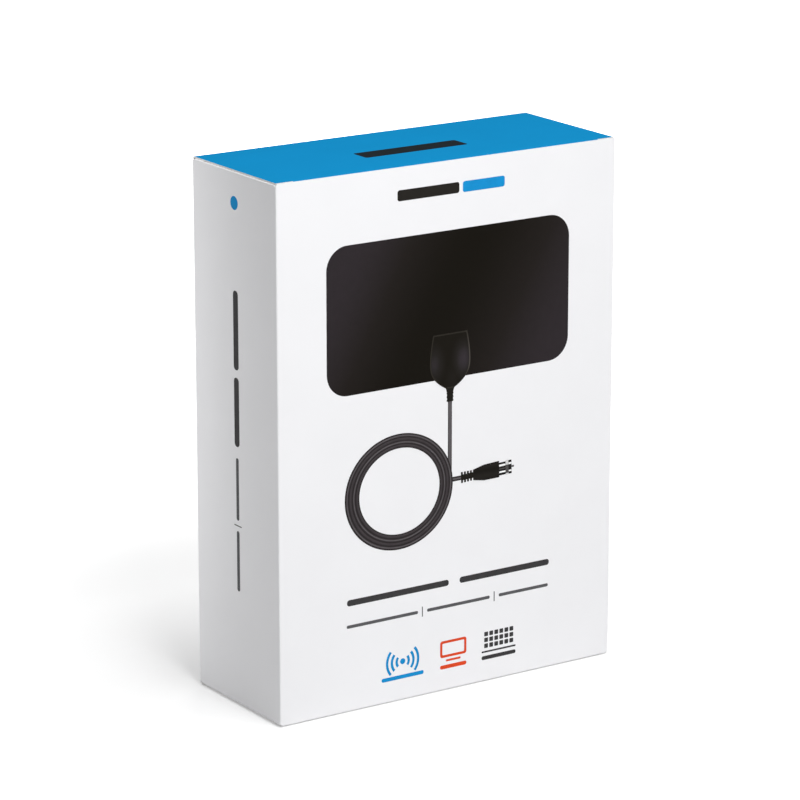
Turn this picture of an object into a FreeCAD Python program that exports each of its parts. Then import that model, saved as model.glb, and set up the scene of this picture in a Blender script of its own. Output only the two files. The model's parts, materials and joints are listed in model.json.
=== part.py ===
import FreeCAD
import Part
import Sketcher
import os

# A folding carton of solid board, closed by a lid with a tuck flap.
# The origin is at the middle of its base, +Z points up and the printed front faces -Y.
# Front, left side, back and right side are one folded sheet, glued along the right rear corner.
# The lid swings on the crease along the top of the back.

# Driving dimensions, in millimetres
SIZES = {
    "carton_width": 176,
    "carton_depth": 68,
    "carton_height": 240,
    "board": 0.5,
    "fold_radius": 0.7,
    "corner_relief": 0.3,
    "seam_gap": 0.3,
    "glue_flap_width": 14,
    "glue_flap_taper": 8,
    "lid_clearance": 0.3,
    "lid_side_inset": 0.5,
    "front_edge_drop": 0.2,
    "hinge_gap": 0.2,
    "tuck_depth": 18,
    "tuck_side_inset": 2.5,
    "tuck_corner_radius": 9,
    "slit_length": 6,
    "slit_height": 0.6,
    "dust_flap_gap": 76,
    "dust_flap_taper": 6,
    "dust_corner_radius": 6,
    "base_dust_gap": 90,
    "base_inner_gap": 18,
    "base_flap_taper": 3,
    "base_edge_gap": 1,
}

doc = FreeCAD.newDocument("folding_carton")
sheet = doc.addObject("Spreadsheet::Sheet", "sizes")
for row, (alias, length) in enumerate(SIZES.items(), 1):
    sheet.set(f"A{row}", alias)
    sheet.set(f"B{row}", str(length))
    sheet.setAlias(f"B{row}", alias)
doc.recompute()


def size(alias):
    """The expression that reads one driving dimension."""
    return f"sizes.{alias}"


def number(expression):
    """The present value of an expression on the sheet."""
    return float(sheet.evalExpression(expression))


# Expressions that several features share
BOARD = size("board")
FOLD = size("fold_radius")
INNER_FOLD = f"({FOLD} - {BOARD})"
RELIEF = size("corner_relief")
CLEAR = size("lid_clearance")
HALF_WIDTH = f"({size('carton_width')} / 2)"
HALF_DEPTH = f"({size('carton_depth')} / 2)"
TOP = size("carton_height")
INNER_HALF = f"({HALF_WIDTH} - {BOARD})"
INNER_FRONT = f"(-{HALF_DEPTH} + {BOARD})"
INNER_BACK = f"({HALF_DEPTH} - {BOARD})"

# Heights of the walls: the front stands up to the lid's face, the other walls stop below their folds
FRONT_TOP = f"({TOP} - {size('front_edge_drop')})"
DUST_TOP = f"({TOP} - {BOARD} - {CLEAR})"
HINGE_DEPTH = f"(2 * {FOLD} + {size('hinge_gap')})"
WALL_TOP = f"({TOP} - max({BOARD} + {CLEAR} + {FOLD} + {RELIEF}; {HINGE_DEPTH}))"
WALL_FOOT = f"(2 * {BOARD} + {FOLD} + {RELIEF})"

# Hinge axis of the lid, and the lean that lets the tuck flap swing clear of the front
AXIS_Y = f"({HALF_DEPTH} - {FOLD})"
AXIS_Z = f"({TOP} - {FOLD})"
TUCK_Y = f"({INNER_FRONT} + {CLEAR})"
REACH = f"({AXIS_Y} - {TUCK_Y})"
TUCK_LEAN = f"({REACH} - sqrt({REACH}^2 - ({size('tuck_depth')} - {FOLD})^2))"
LID_HALF = f"({HALF_WIDTH} - {size('lid_side_inset')})"
TUCK_HALF = f"({LID_HALF} - {size('tuck_side_inset')})"

# The lapped seam: the back's raw edge stops short of the right rear fold, over the glue flap's root
SEAM_X = f"({HALF_WIDTH} - {FOLD} - {size('seam_gap')})"
GLUE_ROOT_X = f"({SEAM_X} - {BOARD})"

# Ends of the creases along the side walls and along the front and back
CREASE_FRONT = f"(-{HALF_DEPTH} + {FOLD} + {RELIEF})"
CREASE_BACK = f"({HALF_DEPTH} - {FOLD} - {RELIEF})"
DUST_CREASE_BACK = f"({HALF_DEPTH} - {HINGE_DEPTH} - {RELIEF})"
CREASE_HALF = f"({HALF_WIDTH} - {FOLD} - {RELIEF})"


def plane_of(body, role):
    """One of the body's own origin planes."""
    return next(item for item in body.Origin.OriginFeatures if item.Role == role)


def sketch_on(body, name, role, lift):
    """An empty sketch on an origin plane, lifted along that plane's normal."""
    sketch = body.newObject("Sketcher::SketchObject", name)
    sketch.AttachmentSupport = (plane_of(body, role), [""])
    sketch.MapMode = "FlatFace"
    sketch.setExpression("AttachmentOffset.Base.z", lift)
    return sketch


def bind(sketch, kind, geometry, point, expression, name):
    """A distance from the sketch's origin to a point, bound to the sheet."""
    distance = Sketcher.Constraint(kind, -1, 1, geometry, point, number(expression))
    index = sketch.addConstraint(distance)
    sketch.renameConstraint(index, name)
    sketch.setExpression(f"Constraints.{name}", expression)


def bind_radius(sketch, geometry, expression, name):
    """The radius of an arc or circle, bound to the sheet."""
    index = sketch.addConstraint(Sketcher.Constraint("Radius", geometry, number(expression)))
    sketch.renameConstraint(index, name)
    sketch.setExpression(f"Constraints.{name}", expression)


def arc_between(start, end, radius):
    """The short arc from start to end that turns counter-clockwise."""
    chord = end - start
    left = FreeCAD.Vector(-chord.y, chord.x, 0).normalize()
    rise = (radius ** 2 - (chord.Length / 2) ** 2) ** 0.5
    centre = (start + end) / 2 + left * rise
    return Part.Arc(start, centre - left * radius, end)


def outline(body, name, role, lift, *loops):
    """A sketch of closed loops; both coordinates of every corner are bound.

    A corner is (across, up), or (across, up, radius) where the side that leaves it is an arc.
    """
    sketch = sketch_on(body, name, role, lift)
    for loop_index, loop in enumerate(loops):
        corners = [FreeCAD.Vector(number(corner[0]), number(corner[1]), 0) for corner in loop]
        ends = corners[1:] + corners[:1]
        sides = []
        for corner, start, end in zip(loop, corners, ends):
            if len(corner) == 3:
                sides.append(sketch.addGeometry(arc_between(start, end, number(corner[2]))))
            else:
                sides.append(sketch.addGeometry(Part.LineSegment(start, end)))
        for side, following in zip(sides, sides[1:] + sides[:1]):
            sketch.addConstraint(Sketcher.Constraint("Coincident", side, 2, following, 1))
        for corner_index, (side, corner) in enumerate(zip(sides, loop)):
            label = f"loop_{loop_index}_corner_{corner_index}"
            bind(sketch, "DistanceX", side, 1, corner[0], f"{label}_across")
            bind(sketch, "DistanceY", side, 1, corner[1], f"{label}_up")
            if len(corner) == 3:
                bind_radius(sketch, side, corner[2], f"{label}_radius")
    doc.recompute()
    return sketch


def rectangle(low_x, low_y, high_x, high_y):
    """The four corners of a rectangle."""
    return [(low_x, low_y), (high_x, low_y), (high_x, high_y), (low_x, high_y)]


def pad(body, name, sketch, length, symmetric=False):
    """Board of the given length on a sketch, along its normal or to both sides of it."""
    feature = body.newObject("PartDesign::Pad", name)
    feature.Profile = sketch
    feature.setExpression("Length", length)
    if symmetric:
        feature.SideType = "Symmetric"
    doc.recompute()
    return feature


def pocket(body, name, sketch, length, symmetric=False):
    """A cut of the given length, against the sketch's normal or to both sides of it."""
    before = body.Shape.Volume
    feature = body.newObject("PartDesign::Pocket", name)
    feature.Profile = sketch
    feature.setExpression("Length", length)
    if symmetric:
        feature.SideType = "Symmetric"
    doc.recompute()
    if not feature.Shape.Volume < before:
        raise ValueError(f"{name} cuts nothing")
    return feature


def mirror(body, name, originals):
    """The same features on the other side of the carton's middle."""
    feature = body.newObject("PartDesign::Mirrored", name)
    feature.Originals = originals
    feature.MirrorPlane = (plane_of(body, "YZ_Plane"), [""])
    body.Tip = feature
    doc.recompute()
    return feature


def edges_at(feature, axis, places):
    """Names of the straight edges along an axis that pass through one of the places."""
    tolerance = 1e-4
    others = [index for index in range(3) if index != axis]
    targets = [tuple(number(value) for value in place) for place in places]
    names = []
    for index, edge in enumerate(feature.Shape.Edges, 1):
        ends = [vertex.Point for vertex in edge.Vertexes]
        if len(ends) != 2 or edge.Curve.TypeId != "Part::GeomLine":
            continue
        for target in targets:
            misses = [abs(end[other] - goal) for end in ends for other, goal in zip(others, target)]
            if max(misses) < tolerance:
                names.append(f"Edge{index}")
    if not names:
        raise ValueError(f"{feature.Name} has no edge at the places given")
    return names


def fillet(body, name, axis, places, radius):
    """Rounds the straight edges along one axis that pass through the places."""
    base = body.Tip
    names = edges_at(base, axis, places)
    feature = body.newObject("PartDesign::Fillet", name)
    feature.Base = (base, names)
    feature.setExpression("Radius", radius)
    doc.recompute()
    return feature


ALONG_X = 0
ALONG_Y = 1
ALONG_Z = 2


def both_sides(x, other):
    """A place and its mirror image across the carton's middle."""
    return [(x, other), (f"-{x}", other)]


def fold(body, name, axis, outside, inside):
    """Rounds creases outside and inside, so that the board keeps its thickness round them."""
    fillet(body, f"{name}_outside", axis, outside, FOLD)
    fillet(body, f"{name}_inside", axis, inside, INNER_FOLD)


def folded_section(wall, inner_wall, wall_end, flap, inner_flap, tip):
    """The section of board that comes along a wall and turns in to the tip of a flap."""
    return [
        (wall, wall_end),
        (wall, flap),
        (tip, flap),
        (tip, inner_flap),
        (inner_wall, inner_flap),
        (inner_wall, wall_end),
    ]


def make_walls(body):
    """The four walls with their corner folds; the back laps over the glue flap's root."""
    inner_lap = f"({INNER_BACK} - {BOARD})"
    outside = [
        (f"-{HALF_WIDTH}", f"-{HALF_DEPTH}"),
        (HALF_WIDTH, f"-{HALF_DEPTH}"),
        (HALF_WIDTH, INNER_BACK),
        (SEAM_X, INNER_BACK),
        (SEAM_X, HALF_DEPTH),
        (f"-{HALF_WIDTH}", HALF_DEPTH),
    ]
    inside = [
        (f"-{INNER_HALF}", INNER_FRONT),
        (INNER_HALF, INNER_FRONT),
        (INNER_HALF, inner_lap),
        (GLUE_ROOT_X, inner_lap),
        (GLUE_ROOT_X, INNER_BACK),
        (f"-{INNER_HALF}", INNER_BACK),
    ]
    ring = outline(body, "wall_ring", "XY_Plane", WALL_FOOT, outside, inside)
    pad(body, "walls", ring, f"{FRONT_TOP} - {WALL_FOOT}")

    outer_corners = both_sides(HALF_WIDTH, f"-{HALF_DEPTH}")
    outer_corners += [(f"-{HALF_WIDTH}", HALF_DEPTH), (HALF_WIDTH, INNER_BACK)]
    inner_corners = both_sides(INNER_HALF, INNER_FRONT)
    inner_corners += [(f"-{INNER_HALF}", INNER_BACK), (INNER_HALF, inner_lap)]
    fold(body, "corner_folds", ALONG_Z, outer_corners, inner_corners)

    trim = outline(
        body, "top_trim_area", "XY_Plane", FRONT_TOP,
        rectangle(f"-{HALF_WIDTH} - {BOARD}", INNER_FRONT, f"{HALF_WIDTH} + {BOARD}", f"{HALF_DEPTH} + {BOARD}"),
    )
    pocket(body, "top_trim", trim, f"{FRONT_TOP} - {WALL_TOP}")


def make_glue_flap(body):
    """The rest of the flap of the right side that is glued behind the back, with sloping ends."""
    tip = f"{GLUE_ROOT_X} - {size('glue_flap_width')}"
    taper = size("glue_flap_taper")
    corners = [
        (GLUE_ROOT_X, WALL_FOOT),
        (GLUE_ROOT_X, WALL_TOP),
        (tip, f"{WALL_TOP} - {taper}"),
        (tip, f"{WALL_FOOT} + {taper}"),
    ]
    area = outline(body, "glue_flap_area", "XZ_Plane", f"-{INNER_BACK}", corners)
    pad(body, "glue_flap", area, BOARD)


def make_dust_flaps(body):
    """The two flaps under the lid, cut back at the front to let the tuck flap pass."""
    under = f"({DUST_TOP} - {BOARD})"
    crease = folded_section(f"-{HALF_WIDTH}", f"-{INNER_HALF}", WALL_TOP, DUST_TOP, under, f"-{CREASE_HALF}")
    crease_area = outline(body, "dust_crease_section", "XZ_Plane", f"-{DUST_CREASE_BACK}", crease)
    crease_pad = pad(body, "dust_crease", crease_area, f"{DUST_CREASE_BACK} - {CREASE_FRONT}")

    shoulder_front = f"({TUCK_Y} + {BOARD} + {TUCK_LEAN} + {CLEAR})"
    half_gap = f"({size('dust_flap_gap')} / 2)"
    tip_front = f"{shoulder_front} + {size('dust_flap_taper')}"
    tip_back = f"{DUST_CREASE_BACK} - {size('dust_flap_taper')}"
    flap = [
        (f"-{CREASE_HALF}", CREASE_FRONT),
        (f"-{TUCK_HALF} - {CLEAR}", shoulder_front),
        (f"-{half_gap}", tip_front),
        (f"-{half_gap}", tip_back),
        (f"-{CREASE_HALF}", DUST_CREASE_BACK),
    ]
    flap_area = outline(body, "dust_flap_area", "XY_Plane", under, flap)
    flap_pad = pad(body, "dust_flap", flap_area, BOARD)
    mirror(body, "dust_flap_pair", [crease_pad, flap_pad])

    fold(body, "dust_folds", ALONG_Y, both_sides(HALF_WIDTH, DUST_TOP), both_sides(INNER_HALF, under))
    tips = both_sides(half_gap, tip_front) + both_sides(half_gap, tip_back)
    fillet(body, "dust_corners", ALONG_Z, tips, size("dust_corner_radius"))


def make_base(body):
    """The glued base: two dust flaps inside, then the front's flap, then the back's flap outside."""
    dust_low = f"(2 * {BOARD})"
    dust_high = f"(3 * {BOARD})"
    crease = folded_section(
        f"-{HALF_WIDTH}", f"-{INNER_HALF}", WALL_FOOT, dust_low, dust_high, f"-{CREASE_HALF}"
    )
    crease_area = outline(body, "base_dust_crease_section", "XZ_Plane", f"-{CREASE_BACK}", crease)
    crease_pad = pad(body, "base_dust_crease", crease_area, f"{CREASE_BACK} - {CREASE_FRONT}")
    tip = f"-{size('base_dust_gap')} / 2"
    taper = size("base_flap_taper")
    flap = [
        (f"-{CREASE_HALF}", CREASE_FRONT),
        (tip, f"{CREASE_FRONT} + {taper}"),
        (tip, f"{CREASE_BACK} - {taper}"),
        (f"-{CREASE_HALF}", CREASE_BACK),
    ]
    flap_area = outline(body, "base_dust_flap_area", "XY_Plane", dust_low, flap)
    flap_pad = pad(body, "base_dust_flap", flap_area, BOARD)
    mirror(body, "base_dust_flap_pair", [crease_pad, flap_pad])

    inner_tip = f"{INNER_BACK} - {size('base_inner_gap')}"
    inner = folded_section(f"-{HALF_DEPTH}", INNER_FRONT, WALL_FOOT, BOARD, dust_low, inner_tip)
    inner_section = outline(body, "base_inner_section", "YZ_Plane", "0", inner)
    pad(body, "base_inner_flap", inner_section, f"2 * {CREASE_HALF}", symmetric=True)

    outer_tip = f"-{HALF_DEPTH} + {size('base_edge_gap')}"
    outer = folded_section(HALF_DEPTH, INNER_BACK, WALL_FOOT, "0", BOARD, outer_tip)
    outer_section = outline(body, "base_outer_section", "YZ_Plane", "0", outer)
    pad(body, "base_outer_flap", outer_section, f"2 * {CREASE_HALF}", symmetric=True)

    fold(body, "base_side_folds", ALONG_Y, both_sides(HALF_WIDTH, dust_low), both_sides(INNER_HALF, dust_high))
    outside = [(f"-{HALF_DEPTH}", BOARD), (HALF_DEPTH, "0")]
    inside = [(INNER_FRONT, dust_low), (INNER_BACK, BOARD)]
    fold(body, "base_folds", ALONG_X, outside, inside)


def make_carton_body():
    """The folded and glued sheet without its lid."""
    body = doc.addObject("PartDesign::Body", "carton_body")
    body.Label = "carton_body"
    make_walls(body)
    make_glue_flap(body)
    make_dust_flaps(body)
    make_base(body)
    return body


def make_lid():
    """The lid panel, its round hinge crease and the tuck flap with its two friction slits."""
    body = doc.addObject("PartDesign::Body", "lid")
    body.Label = "lid"
    under = f"{TOP} - {BOARD}"
    tuck_low = f"{TOP} - {size('tuck_depth')}"
    tuck_root = f"({TUCK_Y} + {TUCK_LEAN} * {BOARD} / {size('tuck_depth')} + {BOARD})"
    section = [
        (AXIS_Y, TOP),
        (TUCK_Y, TOP),
        (f"{TUCK_Y} + {TUCK_LEAN}", tuck_low),
        (f"{TUCK_Y} + {TUCK_LEAN} + {BOARD}", tuck_low),
        (tuck_root, under),
        (AXIS_Y, under),
    ]
    panel_section = outline(body, "lid_section", "YZ_Plane", "0", section)
    pad(body, "lid_panel", panel_section, f"2 * {LID_HALF}", symmetric=True)

    crease_section = sketch_on(body, "hinge_crease_section", "YZ_Plane", "0")
    centre = FreeCAD.Vector(number(AXIS_Y), number(AXIS_Z), 0)
    upward = FreeCAD.Vector(0, 0, 1)
    crease_section.addGeometry(Part.Circle(centre, upward, number(FOLD)))
    bind(crease_section, "DistanceX", 0, 3, AXIS_Y, "axis_across")
    bind(crease_section, "DistanceY", 0, 3, AXIS_Z, "axis_up")
    bind_radius(crease_section, 0, FOLD, "crease_radius")
    pad(body, "hinge_crease", crease_section, f"2 * {LID_HALF}", symmetric=True)

    fold(body, "tuck_fold", ALONG_X, [(TUCK_Y, TOP)], [(tuck_root, under)])

    slit_low = f"{under} - {size('slit_height')}"
    slit_end = f"{TUCK_HALF} - {size('slit_length')}"
    rounding = size("tuck_corner_radius")
    outside = f"{LID_HALF} + {BOARD}"
    below = f"{tuck_low} - {BOARD}"
    cut = [
        (f"{TUCK_HALF} - {rounding}", tuck_low, rounding),
        (TUCK_HALF, f"{tuck_low} + {rounding}"),
        (TUCK_HALF, slit_low),
        (slit_end, slit_low),
        (slit_end, under),
        (outside, under),
        (outside, below),
        (f"{TUCK_HALF} - {rounding}", below),
    ]
    cut_area = outline(body, "tuck_side_area", "XZ_Plane", f"-({TUCK_Y})", cut)
    cut_depth = f"2 * ({TUCK_LEAN} + 2 * {BOARD})"
    side_cut = pocket(body, "tuck_side", cut_area, cut_depth, symmetric=True)
    mirror(body, "tuck_side_pair", [side_cut])
    return body


parts = [make_carton_body(), make_lid()]
doc.recompute()

for item in doc.Objects:
    if "Invalid" in item.State or "Error" in item.State:
        raise ValueError(f"{item.Name} failed: {item.State}")
for part in parts:
    if part.Shape.isNull() or not part.Shape.isValid():
        raise ValueError(f"{part.Label} has no valid shape")
    if len(part.Shape.Solids) != 1:
        raise ValueError(f"{part.Label} is {len(part.Shape.Solids)} solids")

os.makedirs("parts", exist_ok=True)
for part in parts:
    part.Shape.exportStep(f"parts/{part.Label}.step")
    print(part.Label, "volume", round(part.Shape.Volume, 1), "box", part.Shape.BoundBox)
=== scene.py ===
import json
import math

import bmesh
import bpy
from mathutils import Matrix, Vector


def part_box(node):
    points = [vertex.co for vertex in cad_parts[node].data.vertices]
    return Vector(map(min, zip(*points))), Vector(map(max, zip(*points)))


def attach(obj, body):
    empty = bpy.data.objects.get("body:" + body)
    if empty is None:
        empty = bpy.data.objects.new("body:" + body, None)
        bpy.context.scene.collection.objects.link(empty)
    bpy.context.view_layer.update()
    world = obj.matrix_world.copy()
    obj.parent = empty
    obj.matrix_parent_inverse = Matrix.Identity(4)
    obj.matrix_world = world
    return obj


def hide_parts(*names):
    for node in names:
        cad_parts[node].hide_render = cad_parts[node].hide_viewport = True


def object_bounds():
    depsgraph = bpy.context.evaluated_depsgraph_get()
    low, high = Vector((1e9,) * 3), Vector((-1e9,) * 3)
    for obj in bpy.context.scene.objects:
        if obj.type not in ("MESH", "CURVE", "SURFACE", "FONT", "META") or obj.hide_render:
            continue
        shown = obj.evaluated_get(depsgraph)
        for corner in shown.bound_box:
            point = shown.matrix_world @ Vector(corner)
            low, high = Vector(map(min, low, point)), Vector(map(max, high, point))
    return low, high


# A closed tuck-top carton of thin white board with a blue lid, standing on a pale studio floor.
# Lengths are in metres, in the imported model's frame: +Z up, the printed front faces -Y.
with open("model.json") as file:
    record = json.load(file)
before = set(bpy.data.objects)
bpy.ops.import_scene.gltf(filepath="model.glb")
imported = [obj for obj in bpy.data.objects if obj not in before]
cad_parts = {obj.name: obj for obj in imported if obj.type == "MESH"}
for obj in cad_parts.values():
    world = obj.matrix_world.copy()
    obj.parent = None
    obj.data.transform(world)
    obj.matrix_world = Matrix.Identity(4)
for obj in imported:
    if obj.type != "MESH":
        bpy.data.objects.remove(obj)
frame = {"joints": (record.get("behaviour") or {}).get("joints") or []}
CAD_LOW, CAD_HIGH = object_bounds()

MM = 0.001
WIDTH, DEPTH, HEIGHT = CAD_HIGH - CAD_LOW
HALF_WIDTH = WIDTH / 2
HALF_DEPTH = DEPTH / 2

# The board and its folds
BOARD = 0.5 * MM
FOLD = 0.7 * MM
FOLD_STEPS = 8
CORNER_STEPS = 10
RELIEF = 0.3 * MM
SAME_POINT = 0.001 * MM
SHARP_ANGLE = math.radians(30)
PANEL_WEIGHT = 100
GLUE_LINE = 0.02 * MM

# A sheet's materials by number: each coated face is followed by its inside and its cut edge
WHITE_FACE = 0
BLUE_FACE = 3
INSIDE_AFTER_FACE = 1
EDGE_AFTER_FACE = 2

# Heights of the walls and of the flaps that fold from them
LID_GAP = 0.1 * MM
FRONT_DROP = 0.2 * MM
DUST_TOP = HEIGHT - BOARD - LID_GAP
SIDE_TOP = DUST_TOP - FOLD
FRONT_TOP = HEIGHT - FRONT_DROP
BACK_TOP = HEIGHT - 2 * FOLD - LID_GAP
BACK_FOOT = FOLD
FRONT_FOOT = BOARD + FOLD
SIDE_FOOT = 2 * BOARD + FOLD

# Where the creases stop short of the corners
HINGE_CLEARANCE = 0.5 * MM
CREASE_HALF = HALF_WIDTH - FOLD - RELIEF
CREASE_FRONT = -HALF_DEPTH + FOLD + RELIEF
CREASE_BACK = HALF_DEPTH - 2 * FOLD - HINGE_CLEARANCE

# The lapped seam at the right rear corner
SEAM_GAP = 0.3 * MM
GLUE_FLAP_WIDTH = 14 * MM
GLUE_FLAP_TAPER = 8 * MM

# Dust flaps under the lid, and the three layers of the base
DUST_TIP_X = 38 * MM
DUST_TAPER = 6 * MM
DUST_SHOULDER = 2 * MM
DUST_SET_BACK = 2.9 * MM
DUST_CORNER = 6 * MM
BASE_DUST_TIP_X = 45 * MM
BASE_INNER_END = 15.5 * MM
BASE_TAPER = 3 * MM
BASE_EDGE_GAP = 1 * MM

# The lid and its tuck flap
LID_LOW, LID_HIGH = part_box("lid")
LID_HALF = LID_HIGH.x
HINGE = Vector(frame["joints"][0]["pos_m"])
TUCK_GAP = 0.3 * MM
TUCK_INSET = 2.5 * MM
TUCK_DEPTH = HEIGHT - LID_LOW.z
TUCK_FACE = -HALF_DEPTH + BOARD + TUCK_GAP
TUCK_LEAN = 2.29 * MM
TUCK_HALF = LID_HALF - TUCK_INSET
TUCK_CORNER = 9 * MM
SLIT_LENGTH = 6 * MM
SLIT_END = TUCK_HALF - SLIT_LENGTH
SLIT_HEIGHT = 0.6 * MM
NOSE_GAP = 0.1 * MM
BLUE_BLEED = 3 * MM

# Finishes. A tone is a colour as it looks on a screen, 0 to 255.
# In a blend of tones, each tone comes after its place in the blend, 0 to 1.
WHITE_BOARD = {"screen": (243, 243, 245), "mottle": 0.008, "roughness": 0.42, "gloss": 0.15}
BLUE_BOARD = {"screen": (23, 138, 194), "mottle": 0.02, "roughness": 0.5, "gloss": 0.0}
PULP_TONES = ((222, 217, 206), (232, 228, 219))
FLECK_TONES = ((0.3, (212, 206, 194)), (0.45, (255, 255, 255)))
CUT_TONES = ((236, 236, 235), (250, 250, 249))
PANEL_TONES = ((0.0, (20, 17, 12)), (0.5, (33, 29, 27)), (1.0, (48, 43, 46)))
HOUSING_TONES = ((0.0, (25, 22, 17)), (0.5, (37, 34, 32)), (1.0, (55, 50, 54)))
EDGE_TONES = ((0.0, (46, 43, 38)), (0.85, (46, 43, 38)), (0.93, (58, 55, 50)), (1.0, (80, 76, 72)))
PLUG_TONES = ((0.0, (30, 28, 25)), (0.3, (36, 34, 31)), (0.6, (24, 22, 19)), (0.9, (36, 34, 31)))
INK_TONES = {
    "black": (38, 36, 33),
    "grey": (92, 92, 94),
    "blue": (27, 144, 208),
    "orange": (222, 76, 40),
    "slate": (62, 61, 62),
    "lead": (47, 43, 44),
    "lead_strand": (66, 61, 63),
    "lead_sheen": (94, 90, 92),
    "rubber": (30, 28, 24),
    "dark_steel": (36, 34, 34),
    "core_line": (92, 90, 90),
    "nut_band": (82, 80, 80),
    "steel": (214, 214, 214),
    "steel_glint": (250, 250, 250),
}
LID_INK_TONE = (36, 42, 46)
INK_MOTTLE = 0.07
INK_GLOSS = 0.03
COATING_SPREAD = 0.12
FLECK_SHARE = 0.6
FINE_RELIEF = 0.02 * MM
FIBRE_RELIEF = 0.05 * MM
WHITE_LIGHT = (1.0, 1.0, 1.0, 1.0)

# Most values of a noise lie between these two
NOISE_LOW = 0.3
NOISE_HIGH = 0.7

# Ink lies on the board in layers, and the picture's shapes lie over one another
INK_ROOT = 0.03 * MM
INK_LAYER = 0.02 * MM
FIRST_LAYER = 1
SHEEN_LAYER = 2
LOW_LAYER = 3
MIDDLE_LAYER = 4
TOP_LAYER = 5

# How finely round outlines are drawn
ROUND_STEPS = 12
DISC_STEPS = 40
COIL_STEPS = 120
ARC_STEPS = 32
TILE_CORNER_STEPS = 4
HOUSING_STEPS = 26

# Print, from here to the plug, is placed in millimetres from a face's lower left corner.
# A bar is given by its left, foot, right and top, and the radius of its corners.
HEADER_DARK_BAR = (60.7, 225.1, 92.6, 229.9, 1.1)
HEADER_BLUE_BAR = (94.4, 225.1, 116.4, 229.9, 1.1)
TITLE_SPANS = ((34.4, 87.8), (93.6, 142.1))
TITLE_MIDDLE = 50.2
TITLE_HEIGHT = 2.8
DETAIL_SPANS = ((34.2, 71.5), (76.3, 109.9), (114.8, 141.7))
DETAIL_MIDDLE = 39.4
DETAIL_HEIGHT = 1.45
LINE_ROUNDING = 0.45
DETAIL_TICKS = ((73.55, 37.0, 74.05, 41.6, 0.1), (112.05, 37.0, 112.55, 41.6, 0.1))
LID_BAR = (60.3, 23.4, 113.3, 34.2, 1.2)

# The left side's column of print
SIDE_DISC_CENTRE = (34.4, 225.8)
SIDE_DISC_RADIUS = 3.0
SIDE_DARK_BARS = ((32.6, 152.6, 36.6, 187.6, 1.8), (32.6, 118.4, 36.6, 149.2, 1.8))
SIDE_GREY_BARS = ((33.5, 85.2, 35.7, 113.3, 1.0), (33.5, 53.0, 35.7, 80.4, 1.0))
SIDE_TICK = (31.6, 82.55, 37.6, 83.05, 0.1)

# The three badges at the foot of the front
SIGNAL_CENTRE = (63.4, 18.3)
SIGNAL_DOT_RADIUS = 1.35
SIGNAL_ARCS = {"count": 3, "first_radius": 3.2, "pitch": 2.5, "width": 1.25}
SIGNAL_SWEEP = 80
SIGNAL_RULE = (52.3, 10.3, 74.5, 12.1, 0.8)
SCREEN_OUTER = (83.3, 15.6, 97.4, 23.4, 1.2)
SCREEN_INNER = (84.5, 16.8, 96.2, 22.2, 0.5)
SCREEN_STAND = (86.4, 13.6, 94.3, 14.6, 0.4)
SCREEN_RULE = (83.3, 10.3, 97.4, 12.1, 0.8)
TILES = {"columns": 6, "rows": 3, "pitch": 2.75, "width": 2.05, "height": 2.05, "corner": 0.3}
TILES_START = (108.1, 16.9)
TILES_THIN_RULE = (105.7, 13.7, 124.2, 14.5, 0.3)
TILES_RULE = (105.7, 10.4, 124.2, 12.2, 0.8)

# The picture: a dark panel, and the housing over its lower edge with a ribbed relief under it.
# A sheen is two shares of the panel's length from one end, a patch of light is u, v, reach and strength,
# and the funnel is a half width at each height above the relief's foot.
PANEL = (24.6, 143.4, 151.2, 209.3, 10.5)
PANEL_SLANT = 0.55
PANEL_LEFT_SHEEN = (0.1, 0.6)
PANEL_RIGHT_SHEEN = (0.65, 0.05)
HOUSING_MIDDLE = 88.1
HOUSING_TOP = 163.6
HOUSING_SHOULDER = 151.0
HOUSING_FOOT = 138.9
HOUSING_TOP_HALF = 8.9
HOUSING_HALF = 10.6
HOUSING_NECK_HALF = 1.95
HOUSING_TAPER = 2.6
HOUSING_LINE = 0.6
HOUSING_SQUASH = 0.62
HOUSING_PATCHES = ((95.2, 151.2, 7.6, 1.0), (79.8, 150.6, 7.0, 0.75), (89.4, 143.0, 5.0, 0.2))
RELIEF_FOOT = 133.1
RELIEF_FUNNEL = ((1.55, 0.0), (1.6, 3.8), (2.0, 5.3), (2.6, 7.0))
RELIEF_RIBS = {"columns": 1, "rows": 3, "pitch": 1.65, "width": 3.5, "height": 0.95, "corner": 0.3}
RELIEF_FIRST_RIB = 0.3

# The picture's lead, its coil and the two ends that run under the relief and the plug
LEAD_FOOT = 97.5
LEAD_HALF = 1.05
LEAD_SHEEN_HALF = 0.6
LEAD_CORNER = 0.3
LEAD_IN_RELIEF = 0.6
LEAD_IN_PLUG = 0.4
COIL_CENTRE = (61.8, 96.55)
COIL_STRANDS = 4
COIL_INNER = 21.15
COIL_RIM = 0.25
COIL_SQUASH = 0.931
COIL_PITCH = 1.68
COIL_DRIFT = (-0.08, -0.09)
STRAND_WIDTH = 1.0
STRAND_SHEEN_WIDTH = 0.44

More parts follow.
